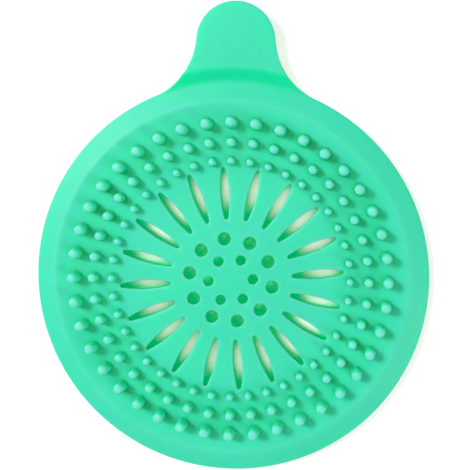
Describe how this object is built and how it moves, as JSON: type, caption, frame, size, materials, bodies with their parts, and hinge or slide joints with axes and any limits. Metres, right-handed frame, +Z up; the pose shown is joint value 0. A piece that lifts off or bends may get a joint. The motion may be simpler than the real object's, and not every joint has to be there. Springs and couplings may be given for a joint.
{
  "type": "sink strainer",
  "caption": "Round silicone sink strainer with a perforated low dome, rings of pegs, a sloping sealing rim and a raised pull tab that bends up.",
  "frame": {"origin": "on the disc's axis, in the plane of the sink that the lip lies on", "axes": "+Z up out of the sink, +Y from the disc's axis towards the pull tab, +X to the right"},
  "size_m": [0.13, 0.1555, 0.009],
  "materials": {
    "silicone": "satin mint green silicone"
  },
  "bodies": {
    "strainer": {"centre_cap": "silicone", "drain_hole_ring": "silicone", "slotted_dome": "silicone", "peg_deck": "silicone", "inner_pegs": "silicone", "middle_pegs": "silicone", "outer_pegs": "silicone", "crest_ring": "silicone", "sloping_skirt": "silicone", "sealing_lip": "silicone", "tab_riser": "silicone"},
    "tab": {"pull_tab": "silicone"}
  },
  "joints": [
    {"name": "tab_flex", "type": "hinge", "parent": "strainer", "child": "tab", "pos_m": [0, 0.0705, 0.0044], "axis": [1, 0, 0], "range_deg": [0, 70], "stiffness_Nm_per_rad": 0.012}
  ]
}
